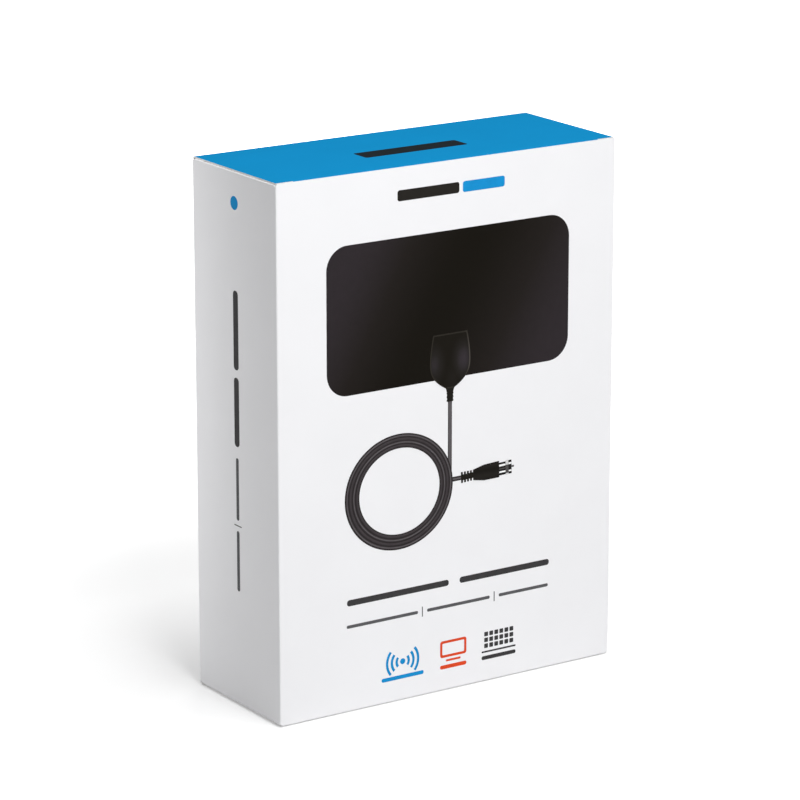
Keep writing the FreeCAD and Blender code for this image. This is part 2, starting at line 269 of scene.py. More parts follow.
# The picture's plug, along its own axis from where its lead enters, turned a little from level.
# Its body is a half width at each distance along the axis.
PLUG_ROOT = (94.1, 97.3)
PLUG_TURN = math.radians(1.8)
PLUG_LEAD_SHEEN_HALF = 0.38
PLUG_CORE = (0.0, -1.3, 6.9, 1.3, 0.3)
PLUG_RIBS = {
    "columns": 5, "rows": 1, "pitch": 1.6, "width": 1.0, "height": 5.1, "corner": 0.35, "shrink": 0.02
}
PLUG_FIRST_RIB = 0.5
PLUG_BODY = ((6.5, 2.4), (12.3, 3.6), (20.4, 3.75))
PLUG_BODY_BELOW = 3.2
PLUG_BODY_ABOVE = 4.2
STEEL_CORNER = 0.12
PLUG_DARK_STEEL = ((19.9, -3.0, 24.0, 2.85), (25.3, -3.15, 27.1, 3.1))
PLUG_GLINTS = (
    (20.0, 1.05, 23.8, 1.95),
    (20.0, -1.9, 23.8, -1.2),
    (25.5, 1.2, 27.0, 2.05),
    (25.5, -2.1, 27.0, -1.4),
)
PLUG_NUT = (23.9, -3.4, 25.4, 3.4)
PLUG_NUT_BAND = (23.9, -2.6, 25.4, 1.2)
PLUG_CORE_LINE = (20.0, -0.25, 23.8, 0.05)
PLUG_PIN = (26.9, -0.42, 28.4, 0.42)

# The studio: floor, surround, lamps and camera
FLOOR_HALF = 4.0
FLOOR_TONE = (236, 236, 236)
FLOOR_FADE_START = 0.18
FLOOR_FADE_END = 0.42
FLOOR_LIFT = 0.27
FLOOR_MOTTLE = 0.01
WORLD_LIGHT = 0.24
KEY_LAMP = {"place": (0.02, -0.32, 1.5), "target": (0, 0, 0.1), "size": (0.5, 0.5), "power": 9.5}
FRONT_LAMP = {"place": (-0.15, -0.8, 0.74), "target": (0, 0, 0.14), "size": (0.5, 0.4), "power": 4.95}
REAR_LAMP = {"place": (0.8, 0.95, 0.38), "target": (0, 0, 0.14), "size": (0.6, 0.5), "power": 4.5}
SIDE_PLACE = (-1.5, 0.55, 0.06)
SIDE_TARGET = (-0.088, 0.55, 0.16)
SIDE_ANGLE = math.radians(45)
SIDE_RADIUS = 0.05
SIDE_POWER = 206.0
CAMERA_YAW = -33.708
CAMERA_PITCH = 15.438
CAMERA_DISTANCE = 1.68854
CAMERA_ASIDE = -0.002776
CAMERA_HEIGHT = 0.125747
CAMERA_LENS = 171.74
CAMERA_SENSOR = 36.0


class Face:
    """A printed face: u runs across it and v up it from its lower left corner, lift stands out of it."""

    def __init__(self, corner, across, up):
        self.corner = Vector(corner)
        self.across = Vector(across)
        self.up = Vector(up)
        self.out = self.across.cross(self.up)

    def matrix(self):
        turn = Matrix((self.across, self.up, self.out)).transposed()
        return Matrix.Translation(self.corner) @ turn.to_4x4()


FRONT = Face((-HALF_WIDTH, -HALF_DEPTH, 0), (1, 0, 0), (0, 0, 1))
LEFT = Face((-HALF_WIDTH, HALF_DEPTH, 0), (0, -1, 0), (0, 0, 1))
TOP = Face((-HALF_WIDTH, -HALF_DEPTH, HEIGHT), (1, 0, 0), (0, 1, 0))
PLUG_ACROSS = Vector((math.cos(PLUG_TURN), 0, math.sin(PLUG_TURN)))
PLUG_UP = Vector((-math.sin(PLUG_TURN), 0, math.cos(PLUG_TURN)))
PLUG = Face(FRONT.corner + Vector((PLUG_ROOT[0] * MM, 0, PLUG_ROOT[1] * MM)), PLUG_ACROSS, PLUG_UP)


def front_place(u, v):
    """A place on the front, given in millimetres, as metres across and up in the model's frame."""
    return u * MM - HALF_WIDTH, v * MM


# Materials

def tone(red, green, blue):
    """A colour as it looks on a screen, 0 to 255, turned into the linear colour that a shader takes."""
    def linear(value):
        share = value / 255
        return share / 12.92 if share <= 0.04045 else ((share + 0.055) / 1.055) ** 2.4
    return linear(red), linear(green), linear(blue), 1.0


def shade(colour, share):
    """The colour, lighter or darker by a share."""
    return tuple(min(1.0, part * share) for part in colour[:3]) + (1.0,)


class Wiring:
    """A tree of nodes being put together."""

    def __init__(self, tree):
        self.tree = tree

    def feed(self, socket, source):
        """Give a socket its value, or a link from another socket or from a node's first output."""
        if isinstance(source, bpy.types.Node):
            source = source.outputs[0]
        if isinstance(source, bpy.types.NodeSocket):
            self.tree.links.new(source, socket)
        else:
            socket.default_value = source

    def node(self, kind, settings=None, **sockets):
        """A node with its settings and what feeds its sockets, whose names have _ for a space."""
        made = self.tree.nodes.new(kind)
        for key, value in (settings or {}).items():
            setattr(made, key, value)
        for key, source in sockets.items():
            self.feed(made.inputs[key.replace("_", " ")], source)
        return made

    def operation(self, kind, operation, first, second):
        made = self.node(kind, {"operation": operation})
        self.feed(made.inputs[0], first)
        self.feed(made.inputs[1], second)
        return made.outputs["Value"]

    def math(self, operation, first, second):
        return self.operation("ShaderNodeMath", operation, first, second)

    def distance(self, first, second):
        return self.operation("ShaderNodeVectorMath", "DISTANCE", first, second)

    def span(self, value, low, high, to_low=0.0, to_high=1.0, smooth=True):
        """The value carried from one range to another."""
        made = self.node(
            "ShaderNodeMapRange",
            {"interpolation_type": "SMOOTHSTEP" if smooth else "LINEAR"},
            Value=value, From_Min=low, From_Max=high, To_Min=to_low, To_Max=to_high,
        )
        return made.outputs["Result"]

    def seen_rays(self):
        """1 for rays that show the surroundings, from the camera, gloss or glass; 0 for rays that light."""
        path = self.node("ShaderNodeLightPath").outputs
        mirrored = self.math("MAXIMUM", path["Is Glossy Ray"], path["Is Transmission Ray"])
        return self.math("MAXIMUM", path["Is Camera Ray"], mirrored)


class Finish(Wiring):
    """A material being put together, on the piece's Object coordinates."""

    def __init__(self, name):
        self.material = bpy.data.materials.new(name)
        self.material.use_nodes = True
        super().__init__(self.material.node_tree)
        self.shader = self.tree.nodes["Principled BSDF"]
        self.place = self.node("ShaderNodeTexCoord").outputs["Object"]

    def axes(self):
        made = self.node("ShaderNodeSeparateXYZ", Vector=self.place)
        return made.outputs["X"], made.outputs["Y"], made.outputs["Z"]

    def stretched(self, *scale):
        """The place, stretched by a different scale along each axis."""
        return self.node("ShaderNodeMapping", Vector=self.place, Scale=scale).outputs["Vector"]

    def noise(self, scale, detail=3.0, roughness=0.55, place=None):
        made = self.node(
            "ShaderNodeTexNoise",
            Vector=place or self.place, Scale=scale, Detail=detail, Roughness=roughness,
        )
        return made.outputs["Fac"]

    def ramp(self, factor, stops):
        """A blend of colours, each stop a place from 0 to 1 and a colour."""
        made = self.node("ShaderNodeValToRGB", Fac=factor)
        elements = made.color_ramp.elements
        while len(elements) < len(stops):
            elements.new(1.0)
        for element, (position, colour) in zip(elements, stops):
            element.position = position
            element.color = colour
        return made.outputs["Color"]

    def tones(self, factor, stops):
        """A blend of tones, each stop a place from 0 to 1 and a tone on a screen."""
        return self.ramp(factor, [(position, tone(*screen)) for position, screen in stops])

    def between(self, noise, first, second):
        """A colour that wanders with a noise between two colours."""
        return self.ramp(noise, ((NOISE_LOW, first), (NOISE_HIGH, second)))

    def multiplied(self, first, second, share=1.0):
        """A share of one colour times another; a Mix node's colour sockets can only be told by number."""
        made = self.node("ShaderNodeMix", {"data_type": "RGBA", "blend_type": "MULTIPLY"})
        for number, source in ((0, share), (6, first), (7, second)):
            self.feed(made.inputs[number], source)
        return made.outputs[2]

    def colour(self, source):
        self.feed(self.shader.inputs["Base Color"], source)

    def speckled(self, body, grain, darkest):
        """The body's colour, with darker specks along a grain."""
        specks = self.between(grain, (darkest, darkest, darkest, 1.0), WHITE_LIGHT)
        self.colour(self.multiplied(body, specks))

    def surface(self, roughness, gloss):
        self.feed(self.shader.inputs["Roughness"], roughness)
        self.feed(self.shader.inputs["Specular IOR Level"], gloss)

    def satin(self, grain, smoothest, roughest, gloss):
        """A surface whose roughness wanders with a grain."""
        self.surface(self.span(grain, NOISE_LOW, NOISE_HIGH, smoothest, roughest), gloss)

    def bump(self, height, strength, distance):
        made = self.node("ShaderNodeBump", Height=height, Strength=strength, Distance=distance)
        self.feed(self.shader.inputs["Normal"], made.outputs["Normal"])


def coated_board(name, screen, mottle, roughness, gloss):
    """Clay-coated board: an even colour with faint cloudiness over fine fibres, satin to the light."""
    finish = Finish(name)
    colour = tone(*screen)
    clouds = finish.noise(scale=38.0, detail=5.0)
    finish.colour(finish.between(clouds, shade(colour, 1 - mottle), shade(colour, 1 + mottle)))
    grain = finish.noise(scale=900.0, detail=4.0, place=finish.stretched(1.0, 1.0, 0.35))
    finish.satin(grain, roughness, roughness + COATING_SPREAD, gloss)
    finish.bump(grain, strength=0.12, distance=FINE_RELIEF)
    return finish.material


def inner_board():
    """The uncoated inside: warm pulp with darker and lighter fibres lying along the sheet."""
    finish = Finish("uncoated_inside")
    fibres = finish.noise(scale=900.0, detail=6.0, roughness=0.7, place=finish.stretched(0.3, 1.0, 0.3))
    pulp = finish.noise(scale=60.0, detail=4.0)
    dark_pulp, pale_pulp = PULP_TONES
    body = finish.between(pulp, tone(*dark_pulp), tone(*pale_pulp))
    finish.colour(finish.multiplied(body, finish.tones(fibres, FLECK_TONES), FLECK_SHARE))
    finish.surface(roughness=0.9, gloss=0.2)
    finish.bump(fibres, strength=0.3, distance=FIBRE_RELIEF)
    return finish.material


def cut_edge():
    """The raw cut of the board: short torn fibres, duller than the coated face."""
    finish = Finish("cut_edge")
    fibres = finish.noise(scale=1600.0, place=finish.stretched(1.0, 1.0, 1.8))
    dark_fibre, pale_fibre = CUT_TONES
    finish.colour(finish.between(fibres, tone(*dark_fibre), tone(*pale_fibre)))
    finish.surface(roughness=0.95, gloss=0.15)
    finish.bump(fibres, strength=0.5, distance=FIBRE_RELIEF)
    return finish.material


def flat_ink(name, screen, gloss=INK_GLOSS):
    """A solid of ink: even, with the faint mottle that ink has on board."""
    finish = Finish(name)
    colour = tone(*screen)
    mottle = finish.noise(scale=220.0, detail=4.0)
    finish.colour(finish.between(mottle, shade(colour, 1 - INK_MOTTLE), shade(colour, 1 + INK_MOTTLE)))
    grain = finish.noise(scale=900.0)
    finish.satin(grain, smoothest=0.4, roughest=0.5, gloss=gloss)
    finish.bump(grain, strength=0.1, distance=FINE_RELIEF)
    return finish.material


def panel_ink(low, high):
    """The picture's dark panel: near black, with a dim plum sheen towards its upper left and lower right."""
    finish = Finish("panel_ink")
    across, _, up = finish.axes()
    length = high[0] - low[0]
    slant = finish.math("SUBTRACT", across, finish.math("MULTIPLY", up, PANEL_SLANT))
    left_end = low[0] - PANEL_SLANT * high[1]
    right_end = high[0] - PANEL_SLANT * low[1]
    left_fade = [left_end + share * length for share in PANEL_LEFT_SHEEN]
    right_fade = [right_end - share * length for share in PANEL_RIGHT_SHEEN]
    left_sheen = finish.span(slant, *left_fade, 1.0, 0.0)
    right_sheen = finish.span(slant, *right_fade)
    grain = finish.noise(scale=260.0, detail=4.0)
    sheen = finish.tones(finish.math("MAXIMUM", left_sheen, right_sheen), PANEL_TONES)
    finish.speckled(sheen, grain, darkest=0.92)
    finish.satin(grain, smoothest=0.42, roughest=0.52, gloss=INK_GLOSS)
    finish.bump(grain, strength=0.08, distance=FINE_RELIEF)
    return finish.material


def housing_ink(patches):
    """The picture's lead housing: dark, with soft light patches, each a place, a reach and a strength."""
    finish = Finish("housing_ink")
    across, _, up = finish.axes()
    lowered = finish.math("MULTIPLY", up, HOUSING_SQUASH)
    flat = finish.node("ShaderNodeCombineXYZ", X=across, Z=lowered).outputs["Vector"]
    glow = 0.0
    for (u, v), reach, strength in patches:
        spread = finish.distance(flat, (u, 0.0, HOUSING_SQUASH * v))
        glow = finish.math("MAXIMUM", finish.span(spread, 0.0, reach, strength, 0.0), glow)
    grain = finish.noise(scale=300.0)
    finish.speckled(finish.tones(glow, HOUSING_TONES), grain, darkest=0.93)
    finish.satin(grain, smoothest=0.42, roughest=0.5, gloss=INK_GLOSS)
    return finish.material


def edge_ink(left, right):
    """The line round the picture's housing: paler towards the right, where the light catches it."""
    finish = Finish("edge_ink")
    across, _, _ = finish.axes()
    finish.colour(finish.tones(finish.span(across, left, right, smooth=False), EDGE_TONES))
    finish.satin(finish.noise(scale=300.0), smoothest=0.42, roughest=0.5, gloss=INK_GLOSS)
    return finish.material


def plug_ink(foot, crown):
    """The body of the picture's plug, which looks round: bands of tone from its foot to its crown."""
    finish = Finish("plug_ink")
    _, _, up = finish.axes()
    bands = finish.tones(finish.span(up, foot, crown, smooth=False), PLUG_TONES)
    grain = finish.noise(scale=500.0)
    finish.speckled(bands, grain, darkest=0.94)
    finish.satin(grain, smoothest=0.42, roughest=0.5, gloss=INK_GLOSS)
    return finish.material


def studio_floor():
    """A pale floor that keeps the carton's shadow and fades to the white of the backdrop further out."""
    finish = Finish("studio_floor")
    colour = tone(*FLOOR_TONE)
    finish.colour(finish.between(finish.noise(scale=30.0), colour, shade(colour, 1 + FLOOR_MOTTLE)))
    finish.surface(roughness=0.9, gloss=0.0)
    reach = finish.distance(finish.place, (0.0, 0.0, 0.0))
    lift = finish.span(reach, FLOOR_FADE_START, FLOOR_FADE_END, FLOOR_LIFT, 1.0)
    glow = finish.node("ShaderNodeEmission", Strength=finish.math("MULTIPLY", lift, finish.seen_rays()))
    both = finish.node("ShaderNodeAddShader")
    finish.feed(both.inputs[0], finish.shader.outputs["BSDF"])
    finish.feed(both.inputs[1], glow.outputs["Emission"])
    finish.feed(finish.tree.nodes["Material Output"].inputs["Surface"], both.outputs["Shader"])
    return finish.material


# Folded board

class BoardSheet:
    """The outer face of a sheet of board, panel by panel; panels share the points along their folds."""

    def __init__(self):
        self.mesh = bmesh.new()
        self.points = {}

    def point(self, place):
        key = tuple(round(part / SAME_POINT) for part in place)
        if key not in self.points:
            self.points[key] = self.mesh.verts.new(place)
        return self.points[key]

    def panel(self, corners, finish=WHITE_FACE, turned=False):
        corners = [self.point(corner) for corner in corners]
        if turned:
            corners.reverse()
        self.mesh.faces.new(corners).material_index = finish

    def strip(self, columns, finishes=None):
        """Panels between neighbouring columns, each column a list of as many points."""
        for first, second in zip(columns, columns[1:]):
            rows = zip(first, second, second[1:], first[1:])
            for row, corners in enumerate(rows):
                self.panel(corners, finishes[row] if finishes else WHITE_FACE)

    def folded_flap(self, start, end, outward, travel, outline, turned=False):
        """A flap that folds inward from the edge between start and end, its outline given in x and y."""
        def along(step):
            angle = math.pi / 2 * step / FOLD_STEPS
            return travel * FOLD * math.sin(angle) - outward * FOLD * (1 - math.cos(angle))
        rows = [(start + along(step), end + along(step)) for step in range(FOLD_STEPS + 1)]
        for lower, upper in zip(rows, rows[1:]):
            self.panel((lower[0], lower[1], upper[1], upper[0]), turned=turned)
        level = rows[-1][0].z
        ring = list(rows[-1]) + [Vector((x, y, level)) for x, y in outline]
        self.panel(ring, turned=turned)

    def thickened(self, name, materials):
        """The sheet as an object of real thickness, with an inside and raw cut edges."""
        mesh = bpy.data.meshes.new(name)
        self.mesh.to_mesh(mesh)
        self.mesh.free()
        for material in materials:
            mesh.materials.append(material)
        draft = bpy.data.objects.new(name, mesh)
        bpy.context.scene.collection.objects.link(draft)
        wall = draft.modifiers.new("board", "SOLIDIFY")
        wall.thickness = BOARD
        wall.offset = -1.0
        wall.use_even_offset = True
        wall.material_offset = INSIDE_AFTER_FACE
        wall.material_offset_rim = EDGE_AFTER_FACE
        return settled(draft, name)


def settled(draft, name):
    """The draft's shape with its modifiers applied, as a plain mesh on an object of its own."""
    bpy.context.view_layer.update()
    evaluated = draft.evaluated_get(bpy.context.evaluated_depsgraph_get())
    mesh = bpy.data.meshes.new_from_object(evaluated)
    bpy.data.objects.remove(draft)
    mesh.name = name
    piece = bpy.data.objects.new(name, mesh)
    bpy.context.scene.collection.objects.link(piece)
    return piece


def smoothed(piece):
    """Shading that is smooth round the folds and flat on the panels, with crisp cut edges."""
    name = piece.name
    piece.data.polygons.foreach_set("use_smooth", [True] * len(piece.data.polygons))
    piece.data.set_sharp_from_angle(angle=SHARP_ANGLE)
    weighted = piece.modifiers.new("panels", "WEIGHTED_NORMAL")
    weighted.keep_sharp = True
    weighted.weight = PANEL_WEIGHT
    piece.name = name + "_draft"
    return settled(piece, name)


def rounded(corners, steps=ROUND_STEPS):
    """An outline whose corners are (x, y) or (x, y, radius); a corner with a radius becomes an arc."""
    outline = []
    count = len(corners)
    for index, corner in enumerate(corners):
        place = Vector(corner[:2])
        if len(corner) < 3:
            outline.append(place)
            continue
        before = (Vector(corners[index - 1][:2]) - place).normalized()
        after = (Vector(corners[(index + 1) % count][:2]) - place).normalized()
        half = before.angle(after) / 2
        centre = place + (before + after).normalized() * corner[2] / math.sin(half)
        reach = corner[2] / math.tan(half)
        first = place + before * reach - centre
        turn = first.angle_signed(place + after * reach - centre)
        for step in range(steps + 1):
            angle = -turn * step / steps
            outline.append(centre + Matrix.Rotation(angle, 2) @ first)
    return outline


def corner_arc(centre, start, heights):
    """Stations round an upright fold: x, y, foot and top, turning a quarter counter-clockwise from start."""
    (foot_a, top_a), (foot_b, top_b) = heights
    stations = []
    for step in range(FOLD_STEPS + 1):
        share = step / FOLD_STEPS
        direction = Matrix.Rotation(math.pi / 2 * share, 2) @ Vector(start)
        spot = Vector(centre) + direction * FOLD
        foot = foot_a + (foot_b - foot_a) * share
        top = top_a + (top_b - top_a) * share
        stations.append((spot.x, spot.y, foot, top))
    return stations


def carton_walls(sheet):
    """Back, left, front and right walls in one run round the carton, and the glue flap that ends it."""
    inner_x = HALF_WIDTH - FOLD
    inner_y = HALF_DEPTH - FOLD
    lap_y = HALF_DEPTH - BOARD - GLUE_LINE
    back = (BACK_FOOT, BACK_TOP)
    side = (SIDE_FOOT, SIDE_TOP)
    front = (FRONT_FOOT, FRONT_TOP)
    run = [(inner_x - SEAM_GAP, HALF_DEPTH, *back), (-CREASE_HALF, HALF_DEPTH, *back)]
    run += corner_arc((-inner_x, inner_y), (0, 1), (back, side))
    run += [(-HALF_WIDTH, CREASE_BACK, *side), (-HALF_WIDTH, CREASE_FRONT, *side)]
    run += corner_arc((-inner_x, -inner_y), (-1, 0), (side, front))
    run += [(-CREASE_HALF, -HALF_DEPTH, *front), (CREASE_HALF, -HALF_DEPTH, *front)]
    run += corner_arc((inner_x, -inner_y), (0, -1), (front, side))
    run += [(HALF_WIDTH, CREASE_FRONT, *side), (HALF_WIDTH, CREASE_BACK, *side)]
    run += corner_arc((inner_x, lap_y - FOLD), (1, 0), (side, (SIDE_FOOT, BACK_TOP)))
    tip_x = inner_x - SEAM_GAP - BOARD - GLUE_FLAP_WIDTH
    run += [(tip_x, lap_y, SIDE_FOOT + GLUE_FLAP_TAPER, BACK_TOP - GLUE_FLAP_TAPER)]
    sheet.strip([[Vector((x, y, foot)), Vector((x, y, top))] for x, y, foot, top in run])


def side_flap(sheet, side, level, travel, tip_x, front, back, turned=False):
    """A dust flap, folded in from the top or the foot of the left (-1) or the right (1) wall."""
    shoulder = side * (HALF_WIDTH - FOLD - DUST_SHOULDER)
    outline = [
        (shoulder, front),
        (side * tip_x, front + DUST_TAPER, DUST_CORNER),
        (side * tip_x, back - DUST_TAPER, DUST_CORNER),
        (shoulder, back),
    ]
    ends = [Vector((side * HALF_WIDTH, y, level)) for y in (CREASE_BACK, CREASE_FRONT)]
    edge = rounded(outline, CORNER_STEPS)
    if side > 0:
        ends.reverse()
        edge.reverse()
    sheet.folded_flap(*ends, Vector((side, 0, 0)), travel, edge, turned)


def dust_flaps(sheet):
    """The two flaps under the lid, set back at the front to let the tuck flap pass."""
    up = Vector((0, 0, 1))
    for side in (-1, 1):
        side_flap(sheet, side, SIDE_TOP, up, DUST_TIP_X, CREASE_FRONT + DUST_SET_BACK, CREASE_BACK)


def base_flaps(sheet):
    """The glued base: an outer flap from the back, an inner one from the front, two dust flaps on top."""
    down = Vector((0, 0, -1))
    dust_front = CREASE_FRONT + BASE_TAPER
    dust_back = CREASE_BACK - BASE_TAPER
    for side in (-1, 1):
        side_flap(sheet, side, SIDE_FOOT, down, BASE_DUST_TIP_X, dust_front, dust_back, turned=True)
    far = CREASE_HALF - BASE_TAPER
    inner = [(far, BASE_INNER_END), (-far, BASE_INNER_END)]
    front = [Vector((x, -HALF_DEPTH, FRONT_FOOT)) for x in (-CREASE_HALF, CREASE_HALF)]
    sheet.folded_flap(*front, Vector((0, -1, 0)), down, inner, turned=True)
    edge_y = -HALF_DEPTH + BASE_EDGE_GAP
    outer = [(-far, edge_y), (far, edge_y)]
    back = [Vector((x, HALF_DEPTH, BACK_FOOT)) for x in (CREASE_HALF, -CREASE_HALF)]
    sheet.folded_flap(*back, Vector((0, 1, 0)), down, outer, turned=True)


def lid_panel(sheet):
    """The lid: a curl of board round the hinge, the top panel and the nose that turns down into the tuck.

    It gives the nose's lower edge and the slope of the tuck flap from there, both in y and z.
    """
    curl = []
    curl_steps = 2 * FOLD_STEPS
    for step in range(curl_steps + 1):
        angle = math.pi * step / curl_steps - math.pi / 2
        curl.append((HINGE.y + FOLD * math.cos(angle), HINGE.z + FOLD * math.sin(angle)))
    lean = math.atan2(TUCK_LEAN, TUCK_DEPTH)
    nose_y = TUCK_FACE + FOLD * (1 + math.sin(lean)) / math.cos(lean)
    nose_z = HEIGHT - FOLD
    side_columns = (-LID_HALF, -SLIT_END, SLIT_END, LID_HALF)
    path = curl + [(nose_y, HEIGHT)]
    finishes = [WHITE_FACE if step < FOLD_STEPS else BLUE_FACE for step in range(len(path) - 1)]
    columns = [[Vector((x, y, z)) for y, z in path] for x in reversed(side_columns)]
    sheet.strip(columns, finishes)
    for inner, outer in ((SLIT_END, LID_HALF), (-LID_HALF, -SLIT_END)):
        near = [Vector((x, nose_y, HEIGHT)) for x in (outer, inner)]
        far = [Vector((x, TUCK_FACE + NOSE_GAP, HEIGHT)) for x in (inner, outer)]
        sheet.panel(near + far, BLUE_FACE)
    turn = math.pi / 2 + lean
    nose = []
    for step in range(FOLD_STEPS + 1):
        angle = math.pi / 2 + turn * step / FOLD_STEPS
        nose.append((nose_y + FOLD * math.cos(angle), nose_z + FOLD * math.sin(angle)))
    columns = [[Vector((x, y, z)) for y, z in nose] for x in (SLIT_END, -SLIT_END)]
    sheet.strip(columns, [BLUE_FACE] * FOLD_STEPS)
    return Vector(nose[-1]), Vector((math.sin(lean), -math.cos(lean)))


def tuck_flap(sheet, root, slope):
    """The tuck flap, leaning back from the nose, with rounded lower corners and an ear past each slit."""
    def spot(x, along):
        place = root + slope * along
        return Vector((x, place.x, place.y))
    length = (root.y - HEIGHT + TUCK_DEPTH) / -slope.y
    ear = (root.y - HEIGHT + BOARD + SLIT_HEIGHT) / -slope.y
    bleed = ear + BLUE_BLEED
    upper = [(SLIT_END, 0), (-SLIT_END, 0), (-SLIT_END, ear), (-TUCK_HALF, ear), (-TUCK_HALF, bleed)]
    upper += [(TUCK_HALF, bleed), (TUCK_HALF, ear), (SLIT_END, ear)]
    sheet.panel([spot(*corner) for corner in upper], BLUE_FACE)
    lower = [(TUCK_HALF, bleed), (-TUCK_HALF, bleed)]
    lower += [(-TUCK_HALF, length, TUCK_CORNER), (TUCK_HALF, length, TUCK_CORNER)]
    sheet.panel([spot(*corner) for corner in rounded(lower, CORNER_STEPS)], WHITE_FACE)


def carton_sheet(white, inside, edge):
    """The carton's own board: four walls, the flaps under the lid and the base."""
    sheet = BoardSheet()
    carton_walls(sheet)
    dust_flaps(sheet)
    base_flaps(sheet)
    return smoothed(sheet.thickened("carton_sheet", [white, inside, edge]))


def lid_sheet(white, inside, edge, blue):
    """The lid and its tuck flap, blue on the outside to a little below the nose."""
    sheet = BoardSheet()
    tuck_flap(sheet, *lid_panel(sheet))
    return smoothed(sheet.thickened("lid_sheet", [white, inside, edge, blue, inside, edge]))


# Print

class InkPiece:
    """Closed films of ink on one face, each given by its outline in millimetres."""

    def __init__(self, name, face, body):
        self.name = name
        self.face = face
        self.body = body
        self.mesh = bmesh.new()
        self.materials = []

    def finish_of(self, material):
        if material not in self.materials:
            self.materials.append(material)
        return self.materials.index(material)

    def film(self, outline, material, layer=FIRST_LAYER):
        """A film over the whole outline, its top as many layers above the board."""
        finish = self.finish_of(material)
        lower, upper = self.rows(outline, layer)
        self.mesh.faces.new(upper).material_index = finish
        self.mesh.faces.new(reversed(lower)).material_index = finish
        self.walls(lower, upper, finish)

    def border(self, outer, inner, material, layer=FIRST_LAYER):
        """A film between two outlines of as many points."""
        finish = self.finish_of(material)
        outer_lower, outer_upper = self.rows(outer, layer)
        inner_lower, inner_upper = self.rows(inner, layer)
        self.walls(outer_lower, outer_upper, finish)
        self.walls(inner_upper, inner_lower, finish)
        self.walls(outer_upper, inner_upper, finish)
        self.walls(inner_lower, outer_lower, finish)

    def rows(self, outline, layer):
        """The outline's points at the root of the ink, and again at its top."""
        heights = (-INK_ROOT, layer * INK_LAYER)
        return [[self.mesh.verts.new((u * MM, v * MM, lift)) for u, v in outline] for lift in heights]

    def walls(self, lower, upper, finish):
        """A closed band of faces between two rows of points."""
        count = len(lower)
        for index in range(count):
            after = (index + 1) % count
            corners = (lower[index], lower[after], upper[after], upper[index])
            self.mesh.faces.new(corners).material_index = finish

    def done(self):
        """The films as one piece on their face, riding on the body."""
        mesh = bpy.data.meshes.new(self.name)
        self.mesh.to_mesh(mesh)
        self.mesh.free()
        for material in self.materials:
            mesh.materials.append(material)
        mesh.transform(self.face.matrix())
        piece = bpy.data.objects.new(self.name, mesh)
        bpy.context.scene.collection.objects.link(piece)
        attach(piece, self.body)


def bar(left, foot, right, top, radius):
    """The outline of an upright rectangle with rounded corners."""
    corners = [(left, foot), (right, foot), (right, top), (left, top)]
    return rounded([(*corner, radius) for corner in corners])


def line_of_bars(piece, spans, middle, height, material):
    """Bars side by side on one line, with nearly round ends."""
    half = height / 2
    for start, end in spans:
        piece.film(bar(start, middle - half, end, middle + half, height * LINE_ROUNDING), material)


def oval(centre, half_width, half_height, steps):
    angles = [2 * math.pi * step / steps for step in range(steps)]
    return [(centre[0] + half_width * math.cos(a), centre[1] + half_height * math.sin(a)) for a in angles]


def disc(centre, radius):
    return oval(centre, radius, radius, DISC_STEPS)


# Repeated print, grown by Geometry Nodes

class Grower(Wiring):
    """A Geometry Nodes tree being put together, with named inputs for its sizes."""

    def __init__(self, name):
        super().__init__(bpy.data.node_groups.new(name, "GeometryNodeTree"))
        self.inputs = self.node("NodeGroupInput")

    def sizes(self, kind, *names):
        """Named inputs of one kind, as the sockets that give their values."""
        for name in names:
            self.tree.interface.new_socket(name, in_out="INPUT", socket_type="NodeSocket" + kind)
        return [self.inputs.outputs[name] for name in names]

    def end(self, geometry):
        """Real geometry with one material, as the tree's result."""
        real = self.node("GeometryNodeRealizeInstances", Geometry=geometry)
        material = self.sizes("Material", "Material")[0]
        inked = self.node("GeometryNodeSetMaterial", Geometry=real, Material=material)
        self.tree.interface.new_socket("Geometry", in_out="OUTPUT", socket_type="NodeSocketGeometry")
        self.node("NodeGroupOutput", Geometry=inked)
        return self.tree


def ring_tree(name, closed):
    """Flat rings, or arcs, of ink inside one another: each is one pitch wider than the last.

    Squash is a ring's height as a share of its width, and Drift moves each one on from the last.
    """
    grower = Grower(name)
    count = grower.sizes("Int", "Count")[0]
    radius, pitch, width, rise = grower.sizes("Float", "First Radius", "Pitch", "Width", "Rise")
    squash = grower.sizes("Float", "Squash")[0]
    drift = grower.sizes("Vector", "Drift")[0]
    if closed:
        ring = grower.node("GeometryNodeCurvePrimitiveCircle", Resolution=COIL_STEPS, Radius=1.0)
    else:
        start, sweep = grower.sizes("Float", "Start Angle", "Sweep")
        ring = grower.node(
            "GeometryNodeCurveArc", Resolution=ARC_STEPS, Radius=1.0, Start_Angle=start, Sweep_Angle=sweep
        )
    centres = grower.node("GeometryNodeMeshLine", Count=count, Offset=drift)
    index = grower.node("GeometryNodeInputIndex")
    reach = grower.math("ADD", radius, grower.math("MULTIPLY", index, pitch))
    lower = grower.math("MULTIPLY", reach, squash)
    scale = grower.node("ShaderNodeCombineXYZ", X=reach, Y=lower, Z=reach)
    rings = grower.node("GeometryNodeInstanceOnPoints", Points=centres, Instance=ring, Scale=scale)
    lines = grower.node("GeometryNodeRealizeInstances", Geometry=rings)
    level = grower.node("GeometryNodeSetCurveNormal", {"mode": "Z_UP"}, Curve=lines)
    section = grower.node("GeometryNodeCurvePrimitiveQuadrilateral", Width=width, Height=rise)
    strands = grower.node("GeometryNodeCurveToMesh", Curve=level, Profile_Curve=section, Fill_Caps=True)
    return grower.end(strands)


